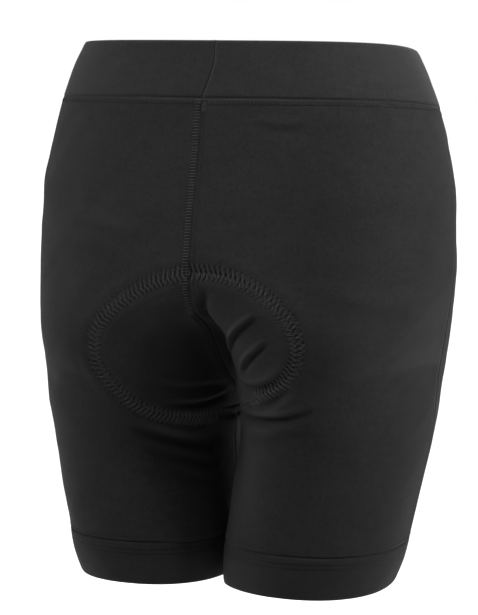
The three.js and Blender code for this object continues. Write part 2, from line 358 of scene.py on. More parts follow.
class Sheet:
    # one cut piece: its quads, where they lie in its grid, and its finished surface
    def __init__(self, nodeName, axis, wall, levels):
        self.name = nodeName
        built = outerQuads(nodeName, axis, wall)
        places = self.upright(gridPlaces(built))
        spots = {spot: vert.co.copy() for corners in places.values() for vert, spot in corners.items()}
        columns, rows = zip(*spots)
        lowColumn, lowRow = min(columns), min(rows)
        self.grid = np.full((max(rows) - lowRow + 1, max(columns) - lowColumn + 1, 3), np.nan)
        for (column, row), co in spots.items():
            self.grid[row - lowRow, column - lowColumn] = co
        across, down = runsAlong(self.grid, 1), runsAlong(self.grid, 0)
        fromMiddle = abs(self.grid[:, 0, 0]).mean() <= abs(self.grid[:, -1, 0]).mean()
        if not fromMiddle:
            across = across[:, -1:] - across  # the knit is counted from the middle outwards
        uv = built.loops.layers.uv.new("cloth")
        for face, corners in places.items():
            for loop in face.loops:
                column, row = corners[loop.vert]
                spot = (row - lowRow, column - lowColumn)
                loop[uv].uv = (across[spot], down[spot])
        if not fromMiddle:
            self.grid = self.grid[:, ::-1]
        print(f"{nodeName}: {len(built.faces)} quads in {self.grid.shape[0] - 1} by {self.grid.shape[1] - 1}")
        self.object = addMesh(nodeName + "_cloth", built)
        self.subdivide(levels)

    def upright(self, places):
        # rows run round the body and are counted from the top down
        fall = {0: 0.0, 1: 0.0}
        for corners in places.values():
            for a, spotA in corners.items():
                for b, spotB in corners.items():
                    for way in (0, 1):
                        if spotB[way] == spotA[way] + 1 and spotB[1 - way] == spotA[1 - way]:
                            fall[way] += a.co.z - b.co.z
        down = max(fall, key=lambda way: abs(fall[way]))
        sign = 1 if fall[down] > 0 else -1
        return {
            face: {vert: (spot[1 - down], sign * spot[down]) for vert, spot in corners.items()}
            for face, corners in places.items()
        }

    def subdivide(self, levels):
        smooth = self.object.modifiers.new("smooth", "SUBSURF")
        smooth.levels = smooth.render_levels = levels
        smooth.boundary_smooth = "PRESERVE_CORNERS"
        evaluated = self.object.evaluated_get(bpy.context.evaluated_depsgraph_get())
        fine = bpy.data.meshes.new_from_object(evaluated)
        self.object.modifiers.clear()
        self.object.data = fine
        fine.name = self.object.name
        self.read()
        self.unpushed = self.points

    def read(self):
        mesh = self.object.data
        self.points = np.empty(len(mesh.vertices) * 3)
        mesh.vertices.foreach_get("co", self.points)
        self.points = self.points.reshape(-1, 3)
        self.normals = np.empty(len(mesh.vertices) * 3)
        mesh.vertices.foreach_get("normal", self.normals)
        self.normals = self.normals.reshape(-1, 3)
        faces = [tuple(face.vertices) for face in mesh.polygons]
        self.tree = BVHTree.FromPolygons(self.points.tolist(), faces)

    def move(self, shifts):
        mesh = self.object.data
        mesh.vertices.foreach_set("co", (self.points + shifts).ravel())
        mesh.update()
        self.read()

    def push(self, heights):
        self.move(self.normals * heights[:, None])

    def rimLinks(self):
        count, links = {}, {}
        for polygon in self.object.data.polygons:
            for key in polygon.edge_keys:
                count[key] = count.get(key, 0) + 1
        for (a, b), faces in count.items():
            if faces == 1:
                links.setdefault(a, []).append(b)
                links.setdefault(b, []).append(a)
        return links

    def edge(self, start, via, end):
        # the finished edge between two grid corners, the way that passes a third place
        links = self.rimLinks()
        rim = list(links)
        away = lambda place: np.linalg.norm(self.unpushed[rim] - self.grid[place], axis=1)
        first, middle, last = (rim[int(np.argmin(away(place)))] for place in (start, via, end))
        for following in links[first]:
            walk, before = [first, following], first
            while walk[-1] != last and len(walk) < len(rim) + 2:
                step = next(v for v in links[walk[-1]] if v != before)
                before = walk[-1]
                walk.append(step)
            if middle in walk:
                return Seam(self, self.points[walk])
        raise ValueError(f"{self.name}: no edge from {start} to {end}")


class Seam:
    # a line on a sheet, with the point at any length along it and any distance across it
    def __init__(self, sheet, points, inwards=None):
        self.sheet = sheet
        self.points = np.asarray(points)
        self.runs = np.concatenate([[0], np.cumsum(np.linalg.norm(np.diff(self.points, axis=0), axis=1))])
        self.length = self.runs[-1]
        rows, columns = sheet.grid.shape[:2]
        middle = Vector(sheet.grid[rows // 2, columns // 2]) if inwards is None else Vector(inwards) * mm
        self.sign = 1
        if self.across(self.length / 2).dot(middle - self.on(self.length / 2)) < 0:
            self.sign = -1

    def on(self, run):
        return Vector([float(np.interp(run, self.runs, self.points[:, k])) for k in range(3)])

    def across(self, run):
        place = self.on(run)
        step = min(tangentStep, self.length / 8)
        tangent = self.on(min(run + step, self.length)) - self.on(max(run - step, 0))
        normal = self.sheet.tree.find_nearest(place)[1]
        return (normal.cross(tangent) * self.sign).normalized()

    def at(self, run, offset, lift=0.0):
        place = self.on(run)
        if offset:
            place = place + self.across(run) * offset
        spot, normal = self.sheet.tree.find_nearest(place)[:2]
        return spot + normal * lift


fineLevels = 3
# For each piece, x of the upright line that it curves round and its solid's wall, in millimetres.
cuts = {
    "back_left": {"axis": 75, "wall": 1.5},
    "back_right": {"axis": -75, "wall": 1.5},
    "front_left": {"axis": 75, "wall": 1.5},
    "front_right": {"axis": -75, "wall": 1.5},
    "waistband": {"axis": 0, "wall": 2.2},
    "hem_left": {"axis": 70, "wall": 2},
    "hem_right": {"axis": -70, "wall": 2},
}
sheets = {
    name: Sheet(name, Vector((cut["axis"] * mm, 0, 0)), cut["wall"] * mm, fineLevels)
    for name, cut in cuts.items()
}
print("sheets cut")


# Each fold is a ridge along three points, in millimetres, with a trough beside it. beside is the way from
# the ridge to its trough, which is down where a row has none. shade is painted shade (below 0) or painted
# highlight (above 0) in the cloth's colour, and a row with only a shade paints it without raising the cloth.
folds = [
    {"sheet": "back_right", "a": (-14, 84, -226), "b": (-31, 110, -206), "c": (-53, 123, -190),
     "ridge": 2.8, "width": 2.1, "trough": 3.6, "beside": (-0.6, 0, -0.8)},
    {"sheet": "back_right", "a": (-31, 97, -236), "b": (-43, 110, -223), "c": (-61, 120, -209),
     "ridge": 2.5, "width": 2.1, "trough": 3.2, "beside": (-0.6, 0, -0.8)},
    # painted shade in the hollow along the seat seam, on both sides
    {"sheet": "back_right", "a": (-1, 112, -190), "b": (-2, 74, -220), "c": (-3, 36, -256),
     "width": 8.0, "beside": (1, 0, 0), "shade": -1},
    {"sheet": "back_left", "a": (1, 112, -190), "b": (2, 74, -220), "c": (3, 36, -256),
     "width": 24.0, "beside": (1, 0, 0), "shade": -0.4},
    {"sheet": "back_right", "a": (-20, 121, -177), "b": (-13, 107, -199), "c": (-26, 95, -218),
     "width": 3.2, "trough": 5.0, "beside": (0.9, 0, 0.1)},
    # a sunk groove beside the seat seam, with painted shade in it
    {"sheet": "back_right", "a": (-8, 109, -192), "b": (-8, 78, -216), "c": (-14, 66, -250),
     "ridge": -6.0, "width": 10.0, "beside": (0.9, 0, 0.1), "shade": -0.7},
    {"sheet": "back_right", "a": (-29, 90, -242), "b": (-52, 107, -242), "c": (-71, 117, -230),
     "ridge": 1.8, "width": 2.4, "trough": 2.6, "beside": (0.2, 0, -1)},
    {"sheet": "back_right", "a": (-48, 97, -265), "b": (-68, 108, -258), "c": (-88, 113, -239),
     "ridge": 1.9, "width": 2.4, "trough": 3.8, "beside": (-0.3, 0, 1)},
    {"sheet": "back_right", "a": (-26, 77, -267), "b": (-56, 101, -268), "c": (-92, 110, -258),
     "ridge": 2.2, "width": 2.5, "trough": 3.4},
    {"sheet": "back_right", "a": (-34, 82, -283), "b": (-60, 99, -280), "c": (-90, 106, -270),
     "ridge": 0.9, "width": 4.0, "trough": 1.4},
    # a sunk hollow beside the seam on the left, with a little painted shade
    {"sheet": "back_left", "a": (8, 106, -194), "b": (4, 78, -216), "c": (5, 48, -248),
     "ridge": -3.0, "width": 12.0, "beside": (1, 0, 0), "shade": -0.15},
    {"sheet": "back_left", "a": (54, 95, -278), "b": (30, 74, -290), "c": (12, 34, -300),
     "ridge": 1.6, "width": 4.2, "trough": 2.6, "beside": (0.2, 0, -1)},
    {"sheet": "back_left", "a": (46, 88, -293), "b": (22, 62, -306), "c": (10, 30, -315),
     "ridge": 1.3, "width": 4.5, "trough": 2.0, "beside": (0.2, 0, -1)},
    {"sheet": "back_left", "a": (38, 82, -306), "b": (22, 60, -318), "c": (12, 34, -328),
     "ridge": 0.8, "width": 5.0, "trough": 1.2, "beside": (0.2, 0, -1)},
    {"sheet": "back_left", "a": (5, 19, -262), "b": (14, 52, -266), "c": (34, 84, -262),
     "ridge": 1.6, "width": 2.8, "trough": 2.2},
    {"sheet": "back_left", "a": (5, 22, -250), "b": (18, 62, -252), "c": (40, 92, -244),
     "ridge": 0.9, "width": 3.0, "trough": 1.2},
    {"sheet": "back_left", "a": (112, 92, -138), "b": (80, 107, -142), "c": (52, 116, -149),
     "ridge": 0.9, "width": 6.0, "trough": 1.0, "beside": (0.1, 0, -1)},
    {"sheet": "back_left", "a": (104, 95, -120), "b": (74, 106, -128), "c": (44, 113, -134),
     "ridge": 0.7, "width": 6.5, "trough": 0.8, "beside": (0.1, 0, -1)},
    {"sheet": "back_right", "a": (-42, 96, -48), "b": (-62, 92, -52), "c": (-84, 87, -49),
     "ridge": 0.6, "width": 3.5, "trough": 0.8},
    {"sheet": "back_right", "a": (-90, 109, -166), "b": (-128, 90, -178), "c": (-154, 55, -178),
     "ridge": 0.7, "width": 8.0, "trough": 0.8},
    # painted highlight on the right leg's inner back, then painted shade in a broad band down the right back
    {"sheet": "back_right", "a": (-38, 86, -270), "b": (-30, 75, -318), "c": (-27, 72, -377),
     "width": 14.0, "beside": (1, 0, 0), "shade": 0.2},
    {"sheet": "back_right", "a": (-86, 88, -40), "b": (-98, 104, -150), "c": (-106, 108, -270),
     "width": 30.0, "beside": (1, 0, 0), "shade": -0.3},
    {"sheet": "front_left", "a": (4, -62, -246), "b": (22, -82, -242), "c": (48, -100, -226),
     "ridge": 1.4, "width": 3.4, "trough": 2.2},
    {"sheet": "front_left", "a": (12, -48, -270), "b": (36, -78, -268), "c": (66, -100, -252),
     "ridge": 1.1, "width": 4.2, "trough": 1.6},
    {"sheet": "front_left", "a": (26, -110, -196), "b": (58, -109, -186), "c": (92, -100, -166),
     "ridge": 0.8, "width": 7.0, "trough": 1.0},
    {"sheet": "front_right", "a": (-5, -64, -244), "b": (-25, -85, -238), "c": (-54, -102, -218),
     "ridge": 1.5, "width": 3.4, "trough": 2.0},
    {"sheet": "front_right", "a": (-10, -46, -274), "b": (-32, -75, -274), "c": (-60, -98, -260),
     "ridge": 1.0, "width": 4.6, "trough": 1.5},
    {"sheet": "front_right", "a": (-22, -110, -190), "b": (-50, -110, -176), "c": (-84, -103, -160),
     "ridge": 0.7, "width": 7.0, "trough": 0.9},
]
# Widths and places are shares of a fold's width, and the painted shade and highlight (ridgeShade,
# troughShade) are for each millimetre of height.
foldShape = {"pieces": 8, "reach": 4, "taper": 0.7, "endReach": 2, "troughAt": 1.5, "troughWidth": 1.2,
             "ridgeShade": 0.2, "troughShade": 0.3, "beside": (0, 0, -1)}


def foldHeights(sheet):
    # how far the folds raise each point, and the painted shade in troughs and painted highlight on ridges
    # that the cloth's colour gets there
    heights, shades = np.zeros(len(sheet.points)), np.zeros(len(sheet.points))
    pieces = foldShape["pieces"]
    for fold in folds:
        if fold["sheet"] != sheet.name:
            continue
        a, b, c = (np.array(fold[key]) * mm for key in "abc")
        t = np.linspace(0, 1, pieces + 1)[:, None]
        line = a * (1 - t) * (1 - 2 * t) + b * 4 * t * (1 - t) + c * t * (2 * t - 1)
        line = np.array([sheet.tree.find_nearest(Vector(place))[0] for place in line])
        width = fold["width"] * mm
        reach = np.linalg.norm(c - a) + foldShape["reach"] * width
        near = np.where(np.linalg.norm(sheet.points - b, axis=1) < reach)[0]
        points = sheet.points[near]
        best = np.full(len(near), np.inf)
        share, offset = np.zeros(len(near)), np.zeros((len(near), 3))
        for k in range(pieces):
            start, step = line[k], line[k + 1] - line[k]
            along = np.clip((points - start) @ step / (step @ step), 0, 1)
            away = points - start - along[:, None] * step
            distance = np.linalg.norm(away, axis=1)
            closer = distance < best
            best[closer] = distance[closer]
            share[closer] = (k + along[closer]) / pieces
            offset[closer] = away[closer]
        beside = np.array(fold.get("beside", foldShape["beside"]))
        signed = offset @ (beside / np.linalg.norm(beside))
        rise, fall = fold.get("ridge", 0), fold.get("trough", 0)
        taper = np.sin(np.pi * np.clip(share, 0, 1)) ** foldShape["taper"]
        beyond = np.sqrt(np.maximum(best**2 - signed**2, 0))
        taper = taper * np.exp(-((beyond / (foldShape["endReach"] * width)) ** 2))
        ridge = np.exp(-((signed / width) ** 2))
        aside = signed - foldShape["troughAt"] * width
        trough = np.exp(-((aside / (foldShape["troughWidth"] * width)) ** 2))
        heights[near] += taper * (rise * ridge - fall * trough) * mm
        # painted highlight on the ridge (painted shade where a row's shade is below 0), and painted shade in
        # the trough
        paintedOnRidge = fold.get("shade", rise * foldShape["ridgeShade"]) * ridge
        shades[near] += taper * (paintedOnRidge - fall * foldShape["troughShade"] * trough)
    return heights, np.clip(shades, -1, 1)


# Slow unevenness of stretched cloth: wavelengths and heights in millimetres.
waves = [
    {"length": 92, "way": (0.8, 0.3, 0.5), "height": 0.35, "shift": 0.4},
    {"length": 61, "way": (-0.5, 0.4, 0.8), "height": 0.22, "shift": 1.9},
    {"length": 43, "way": (0.6, -0.5, 0.6), "height": 0.14, "shift": 3.3},
    {"length": 27, "way": (0.2, 0.5, 0.9), "height": 0.07, "shift": 5.1},
]
waveBend = {"height": 1.5, "rate": 0.7, "shift": 2}


def waveHeights(sheet):
    heights = np.zeros(len(sheet.points))
    for wave in waves:
        way = np.array(wave["way"]) / np.linalg.norm(wave["way"])
        turn = 2 * np.pi * (sheet.points @ way) / (wave["length"] * mm)
        bend = waveBend["height"] * np.sin(waveBend["rate"] * turn + waveBend["shift"] * wave["shift"])
        heights += wave["height"] * mm * np.sin(turn + bend + wave["shift"])
    return heights


# Seams lie a little below the cloth beside them, and the waves fade out within calm of an edge.
edgeDip = {"depth": 0.35, "width": 1.4, "calm": 12}
# Each edge reaches out to meet its neighbour, so that no light comes through, and a corner more.
edgeReach = {"edge": 0.24, "corner": 0.48}


def edgeHeights(sheet):
    rim = list(sheet.rimLinks())
    tree = KDTree(len(rim))
    for k, index in enumerate(rim):
        tree.insert(Vector(sheet.points[index]), k)
    tree.balance()
    distance = np.array([tree.find(Vector(point))[2] for point in sheet.points]) / mm
    return -edgeDip["depth"] * mm * np.exp(-((distance / edgeDip["width"]) ** 2)), distance


def reachOut(sheet):
    links = sheet.rimLinks()
    inner = {index: [] for index in links}
    for edge in sheet.object.data.edges:
        a, b = edge.vertices
        for here, there in ((a, b), (b, a)):
            if here in links and there not in links[here]:
                inner[here].append(there)
    shifts = np.zeros_like(sheet.points)
    for index, others in inner.items():
        beside = others or links[index]  # a corner has only edge points beside it
        way = sheet.points[index] - sheet.points[beside].mean(axis=0)
        shifts[index] = way / np.linalg.norm(way) * edgeReach["edge" if others else "corner"] * mm
    sheet.move(shifts)


for sheet in sheets.values():
    reachOut(sheet)

bandJoin = {"heights": (0, 0.33, 0.67, 1), "shifts": (0, -5, -8.5, -8), "reach": 45}


def bendBandJoin(band):
    # the join at the centre back wanders a little instead of running straight down
    top, bottom = band.grid[0, 0, 2], band.grid[-1, 0, 2]
    heights = (band.points[:, 2] - bottom) / (top - bottom)
    fade = np.exp(-((band.points[:, 0] / (bandJoin["reach"] * mm)) ** 2)) * (band.points[:, 1] > 0)
    shifts = np.zeros_like(band.points)
    shifts[:, 0] = np.interp(heights, bandJoin["heights"], bandJoin["shifts"]) * mm * fade
    band.move(shifts)


bendBandJoin(sheets["waistband"])

# The right leg's inner back edge stands out towards the left leg, most at the hem.
legEdge = {"shift": 9, "start": -290, "full": -410, "power": 1.2, "at": (-12, 48), "reach": (30, 38)}


def pushLegEdge(sheet):
    x, y, z = sheet.points.T / mm
    down = np.clip((legEdge["start"] - z) / (legEdge["start"] - legEdge["full"]), 0, 1) ** legEdge["power"]
    (atX, atY), (reachX, reachY) = legEdge["at"], legEdge["reach"]
    shifts = np.zeros_like(sheet.points)
    nearby = np.exp(-(((x - atX) / reachX) ** 2) - ((y - atY) / reachY) ** 2)
    shifts[:, 0] = legEdge["shift"] * mm * down * nearby
    sheet.move(shifts)


for name in ("back_right", "front_right", "hem_right"):
    pushLegEdge(sheets[name])

for name, sheet in sheets.items():
    dips, distance = edgeHeights(sheet)
    calm = 1 - np.exp(-((distance / edgeDip["calm"]) ** 2))
    raised, shades = foldHeights(sheet)
    # the shade attribute carries the folds' painted shade and painted highlight to the shader
    shade = sheet.object.data.attributes.new("shade", "FLOAT", "POINT")
    shade.data.foreach_set("value", shades)
    sheet.push(dips + raised + waveHeights(sheet) * calm)
print("folds laid")


# The pad's zigzag seam on the outside, from the centre back round each side to the inseam, in millimetres.
padSeamRight = [
    (-0.2, 120, -161.5), (-12.5, 120, -161.5), (-25.5, 120, -162.5), (-38, 120, -165.5),
    (-50.5, 120, -171), (-62, 119.5, -178.5), (-71.5, 119.5, -187), (-78.5, 119.5, -195),
    (-83, 119.5, -204.5), (-85, 119, -214), (-83.5, 117.5, -224.5), (-78.5, 115, -234),
    (-70.5, 112, -242.5), (-60.5, 107.5, -248.5), (-49, 101.5, -253.5), (-35.5, 88.5, -259),
    (-24, 74, -264), (-16, 53, -269), (-10, 26, -277), (-8.4, -4, -283),
]
padSeamLeft = [
    (0.2, 120, -161.5), (14.5, 120, -165.5), (25.5, 120.5, -168.5), (35, 121, -173),
    (46, 121, -180), (55.5, 121, -186.5), (66, 120.5, -196), (73.5, 120, -205.5),
    (77, 118.5, -216.5), (77.5, 116.5, -228), (74.5, 113.5, -239), (69, 110.5, -248.5),
    (61.5, 106, -257.5), (54.5, 101, -264.5), (46, 95, -270.5), (38, 87.5, -275),
    (30.5, 78.5, -278), (22, 66, -280), (16, 51, -281.5), (11, 30, -282.5), (8.8, -4, -284),
]
padSeamFront = [
    (8.6, -4, -284), (11, -24, -284), (20, -48, -278), (34, -72, -264), (45, -92, -242),
    (46, -104, -222), (38, -110, -206), (22, -112, -197), (0.2, -112, -194),
]
padStitch = {"pitch": 3.9, "thread": 0.5, "uneven": 0.14}
padRelief = {"trough": 0.45, "troughWidth": 5.5, "swell": 0.35, "swellAt": 10, "swellWidth": 4,
             "reach": 16, "fade": 5, "spacing": 3}


def smoothLine(sheet, table, mirrored=False):
    # an even curve through the points of a table, laid on the sheet
    side = -1 if mirrored else 1
    corners = [Vector((x * side, y, z)) * mm for x, y, z in table]
    corners = [2 * corners[0] - corners[1]] + corners + [2 * corners[-1] - corners[-2]]
    line = []
    for p, q, r, w in zip(corners, corners[1:], corners[2:], corners[3:]):
        steps = max(2, round((r - q).length / (padRelief["spacing"] * mm)))
        for k in range(steps):
            t = k / steps
            bend, twist = 2 * p - 5 * q + 4 * r - w, 3 * q - p - 3 * r + w
            line.append(0.5 * (2 * q + (r - p) * t + bend * t**2 + twist * t**3))
    line.append(corners[-2])
    return [sheet.tree.find_nearest(place)[0] for place in line]


padSeams = [
    Seam(sheets[name], smoothLine(sheets[name], table, mirrored), inwards)
    for name, table, mirrored, inwards in (
        ("back_right", padSeamRight, False, (-40, 100, -215)),
        ("back_left", padSeamLeft, False, (40, 100, -215)),
        ("front_left", padSeamFront, False, (10, -90, -230)),
        ("front_right", padSeamFront, True, (-10, -90, -230)),
    )
]


def layPadSeam(seam):
    # the seam pulls the cloth in, and its place along and across goes to the shader
    sheet = seam.sheet
    count = int(seam.length / mm)
    runs = np.linspace(0, seam.length, count + 1)
    tree = KDTree(len(runs))
    for k, run in enumerate(runs):
        tree.insert(seam.on(run), k)
    tree.balance()
    places, inwards = [seam.on(run) for run in runs], [seam.across(run) for run in runs]
    values = np.zeros((len(sheet.points), 3))
    values[:, 1] = 1  # a metre off, where the seam doesn't reach
    heights = np.zeros(len(sheet.points))
    for index, point in enumerate(sheet.points):
        spot, k, distance = tree.find(Vector(point))
        if distance > padRelief["reach"] * mm:
            continue
        offset = (Vector(point) - places[k]).dot(inwards[k])
        tangent = inwards[k].cross(Vector(sheet.normals[index])) * seam.sign
        values[index] = (runs[k] + (Vector(point) - places[k]).dot(tangent), offset, 1)
        across = distance / mm
        swell = math.exp(-(((across - padRelief["swellAt"]) / padRelief["swellWidth"]) ** 2))
        trough = math.exp(-((across / padRelief["troughWidth"]) ** 4))
        fade = min(1, (padRelief["reach"] - across) / padRelief["fade"])
        heights[index] = (padRelief["swell"] * swell - padRelief["trough"] * trough) * fade
    told = sheet.object.data.attributes.new("padSeam", "FLOAT_VECTOR", "POINT")
    told.data.foreach_set("vector", values.ravel())
    sheet.push(heights * mm)


for seam in padSeams:
    layPadSeam(seam)
print("pad seam laid")


knits = {
    "panelKnit": {"dark": (0.0018, 0.0018, 0.002, 1), "light": (0.0066, 0.0066, 0.0069, 1),
                  "rough": 0.82, "sheen": 0.022, "sheenRough": 0.3, "specular": 0.06,
                  "wale": 0.75, "course": 0.6, "loop": 0.12},
    "bandKnit": {"dark": (0.0025, 0.0025, 0.0028, 1), "light": (0.0076, 0.0076, 0.008, 1),
                 "rough": 0.84, "sheen": 0.03, "sheenRough": 0.35, "specular": 0.08,
                 "wale": 0.9, "course": 0.55, "loop": 0.14},
    "hemKnit": {"dark": (0.0018, 0.0018, 0.002, 1), "light": (0.0062, 0.0062, 0.0065, 1),
                "rough": 0.84, "sheen": 0.02, "sheenRough": 0.35, "specular": 0.06,
                "wale": 0.9, "course": 0.55, "loop": 0.12},
    "padCover": {"dark": (0.004, 0.004, 0.0043, 1), "light": (0.009, 0.009, 0.0095, 1),
                 "rough": 0.85, "sheen": 0.05, "sheenRough": 0.5, "specular": 0.1,
                 "wale": 1.4, "course": 1.4, "loop": 0.2},
}
# Ripples beside the pad's seam: bump depth, reach and slant, and shade, the painted shade in their dips and
# painted highlight on their crests.
pucker = {"depth": 1.5, "reach": 6.4, "slant": 0.35, "shade": 0.7}

# Lines of needle holes, dented into the bump and darkened in the colour as painted shade: the edge that they
# follow (X middle, Y top, Z bottom), how far from it, how wide and how dark.
needleLines = {
    "panelKnit": [("X", 1.2, 0.5, 0.7), ("X", 4.6, 0.5, 0.7), ("Y", 1.0, 0.5, 0.7), ("Y", 5.2, 0.6, 0.6),
                  ("Z", 1.5, 0.5, 0.5), ("Z", 4.2, 0.5, 0.5)],
    # on the band, a line of painted shade down its join
    "bandKnit": [("X", 0.0, 1.7, 2.2)],
    "hemKnit": [("Y", 5.5, 0.75, 0.5), ("Y", 9.0, 0.75, 0.5)],
}
needleDepth = 0.5


# Uneven tone in the knit, from broad to fine: noise scale, detail and weight.
knitNoise = {
    "mottle": {"scale": 26, "detail": 3, "weight": 0.4},
    "streak": {"scale": 75, "detail": 3, "weight": 0.5},
    "fleck": {"scale": 330, "detail": 2, "weight": 1.0},
    "grain": {"scale": 1100, "detail": 2, "weight": 2.9},
}
streakTurn = {"Rotation": (0, 0.6, 0), "Scale": (1.0, 1.0, 3.2)}
loopShape = {"lean": 1.2, "loops": 0.6, "rib": 0.8, "tone": 0.25}
# The darkest and palest colours below are painted shade and painted highlight, mixed in by the shade
# attribute.
knitLook = {"paintedShade": 0.3, "pale": 2.4, "roughSpread": 0.2}  # black and pale are shares of dark and light


def tinted(colour, share):
    return tuple(share * part for part in colour[:3]) + (1,)


def knitLoops(knit, across, down):
    # slanted loops side by side: how high each lies, and where it is along its column
    leg = abs((across / (knit["wale"] * mm)).fraction() - 0.5)
    turns = (down / (knit["course"] * mm) + leg * loopShape["lean"]) * (2 * math.pi)
    loops = turns.sine() * 0.5 + 0.5
    return (loops * loopShape["loops"] + (0.5 - leg) * loopShape["rib"]) * knit["loop"], loops


def knitTones(shader, body):
    tones = {}
    for name, noise in knitNoise.items():
        place = body
        if name == "streak":
            turned = shader.node("ShaderNodeMapping", {}, {"Vector": body, **streakTurn})
            place = shader.value(turned, "Vector")
        made = shader.node(
            "ShaderNodeTexNoise", {}, {"Vector": place, "Scale": noise["scale"], "Detail": noise["detail"]}
        )
        tones[name] = shader.value(made, "Fac")
    return tones


def padGathers(shader):
    # ripples in the cloth along both sides of the pad's seam, for both the bump and the painted shade and
    # highlight
    seam = shader.node("ShaderNodeAttribute", {"attribute_name": "padSeam"}, {})
    parts = shader.node("ShaderNodeSeparateXYZ", {}, {"Vector": shader.value(seam, "Vector")})
    along, aside = shader.value(parts, "X"), abs(shader.value(parts, "Y"))
    window = (1 - aside / (pucker["reach"] * mm)).atLeast(0)
    wave = ((along + aside * pucker["slant"]) * (2 * math.pi / (padStitch["pitch"] * mm))).sine()
    return wave * (window ** 0.5) * shader.value(parts, "Z")


def needleHoles(shader, lines):
    edges = shader.node("ShaderNodeAttribute", {"attribute_name": "edges"}, {})
    ways = shader.node("ShaderNodeSeparateXYZ", {}, {"Vector": shader.value(edges, "Vector")})
    holes = 0
    for way, away, width, dark in lines:
        line = (1 - abs(shader.value(ways, way) - away * mm) / (width * mm)).atLeast(0)
        holes = line * dark + holes
    return holes


def knitMaterial(name, isSheet=True, hasPad=False):
    knit = knits[name]
    shader = Shader(bpy.data.materials.new(name))
    body = shader.value(shader.node("ShaderNodeTexCoord", {}, {}), "Object")
    place = body
    if isSheet:
        place = shader.value(shader.node("ShaderNodeUVMap", {"uv_map": "cloth"}, {}), "UV")
    split = shader.node("ShaderNodeSeparateXYZ", {}, {"Vector": place})
    height, loops = knitLoops(knit, shader.value(split, "X"), shader.value(split, "Y" if isSheet else "Z"))
    tones = knitTones(shader, body)
    uneven = sum((tones[kind] - 0.5) * noise["weight"] for kind, noise in knitNoise.items())
    tone = (0.5 + uneven + (loops - 0.5) * loopShape["tone"]).atLeast(0).atMost(1)
    colour = shader.mixed(tone, knit["dark"], knit["light"])
    if isSheet:
        holes = needleHoles(shader, needleLines[name])
        height = height - holes * needleDepth
        # the shade attribute and the needle holes mix painted shade (a darker copy of dark) and painted
        # highlight (a paler copy of light) into the knit's colour
        paintedShadeAttribute = shader.node("ShaderNodeAttribute", {"attribute_name": "shade"}, {})
        shade = shader.value(paintedShadeAttribute, "Fac") - holes
        if hasPad:
            gathers = padGathers(shader)
            height = height + gathers * pucker["depth"]
            # the ripples also paint shade in their dips and highlight on their crests
            shade = shade + gathers * pucker["shade"]
        paintedShade, pale = tinted(knit["dark"], knitLook["paintedShade"]), tinted(knit["light"], knitLook["pale"])
        colour = shader.mixed((0 - shade).atLeast(0).atMost(1), colour, paintedShade)
        colour = shader.mixed(shade.atLeast(0).atMost(1), colour, pale)
    bump = shader.node("ShaderNodeBump", {}, {"Height": height, "Distance": mm, "Strength": 1.0})
    spread = knitLook["roughSpread"]
    cloth = shader.node("ShaderNodeBsdfPrincipled", {}, {
        "Base Color": colour,
        "Normal": shader.value(bump, "Normal"),
        "Roughness": tones["grain"] * spread + (knit["rough"] - spread / 2),
        "Specular IOR Level": knit["specular"],
        "Sheen Weight": knit["sheen"],
        "Sheen Roughness": knit["sheenRough"],
    })
    return shader.finish(shader.value(cloth, "BSDF"))


# Each seam by the three grid places that it runs through, as row and column.
seamPlaces = {
    "middle": ((0, 0), (10, 0), (20, 0)),
    "top": ((0, 0), (0, 5), (0, -1)),
    "bottom": ((-1, 0), (-1, 5), (-1, -1)),
    "join": ((0, 0), (1, 0), (-1, 0)),
}

# A row repeats one stitch along a seam. Its points are the way along, the way in from the seam and the
# height, in millimetres, as are the pitch and the thread.
rung = ((-0.2, 0.6, -0.1), (0, 1.6, 0.25), (0.1, 4.0, 0.25), (0.3, 5.2, -0.1))
tack = ((0, 0.3, -0.1), (0.1, 2.2, 0.4), (0, 4.4, -0.1))
needle = lambda away, half: ((-half, away, -0.1), (0, away, 0.12), (half, away, -0.1))
slantStitch = lambda half, near, far: ((-half, near, -0.1), (0, (near + far) / 2, 0.2), (half, far, -0.1))
stitchRows = [
    {"name": "seatLadder", "sheets": ("back_left", "front_left"), "seam": "middle", "to": 168,
     "pitch": 2.2, "thread": 0.55, "tone": "light", "shape": rung},
    # the ladder's thread in the crotch is the dark thread, as painted shade in the hollow there
    {"name": "crotchLadder", "sheets": ("back_left", "front_left"), "seam": "middle", "from": 168,
     "pitch": 2.2, "thread": 0.5, "tone": "dark", "shape": rung},
    {"name": "seatNeedles", "sheets": ("back_right", "front_right"), "seam": "middle",
     "pitch": 2.6, "thread": 0.3, "tone": "dark", "shape": needle(1.2, 1.1)},
    {"name": "seatNeedlesOuter", "sheets": ("back_right", "front_right"), "seam": "middle",
     "pitch": 2.6, "thread": 0.3, "tone": "dark", "shape": needle(4.0, 1.1)},
    {"name": "barTack", "sheets": ("back_right",), "seam": "middle", "from": 4, "to": 11,
     "pitch": 0.95, "thread": 0.45, "tone": "light", "shape": tack},
    {"name": "bandStitch", "sheets": panels, "seam": "top",
     "pitch": 2.9, "thread": 0.32, "tone": "soft", "shape": slantStitch(0.7, 1.0, 5.0)},
    {"name": "bandNeedles", "sheets": panels, "seam": "top",
     "pitch": 2.9, "thread": 0.3, "tone": "dark", "shape": needle(5.1, 1.25)},
    {"name": "legStitch", "sheets": panels, "seam": "bottom",
     "pitch": 2.7, "thread": 0.35, "tone": "soft", "shape": slantStitch(0.6, 1.6, 4.0)},
    {"name": "hemNeedles", "sheets": ("hem_left", "hem_right"), "seam": "top", "wander": 0.5,
     "pitch": 2.7, "thread": 0.3, "tone": "dark", "shape": needle(5.5, 1.15)},
    {"name": "hemNeedlesLower", "sheets": ("hem_left", "hem_right"), "seam": "top", "wander": 0.6,
     "pitch": 2.7, "thread": 0.3, "tone": "dark", "shape": needle(9.0, 1.15)},
]
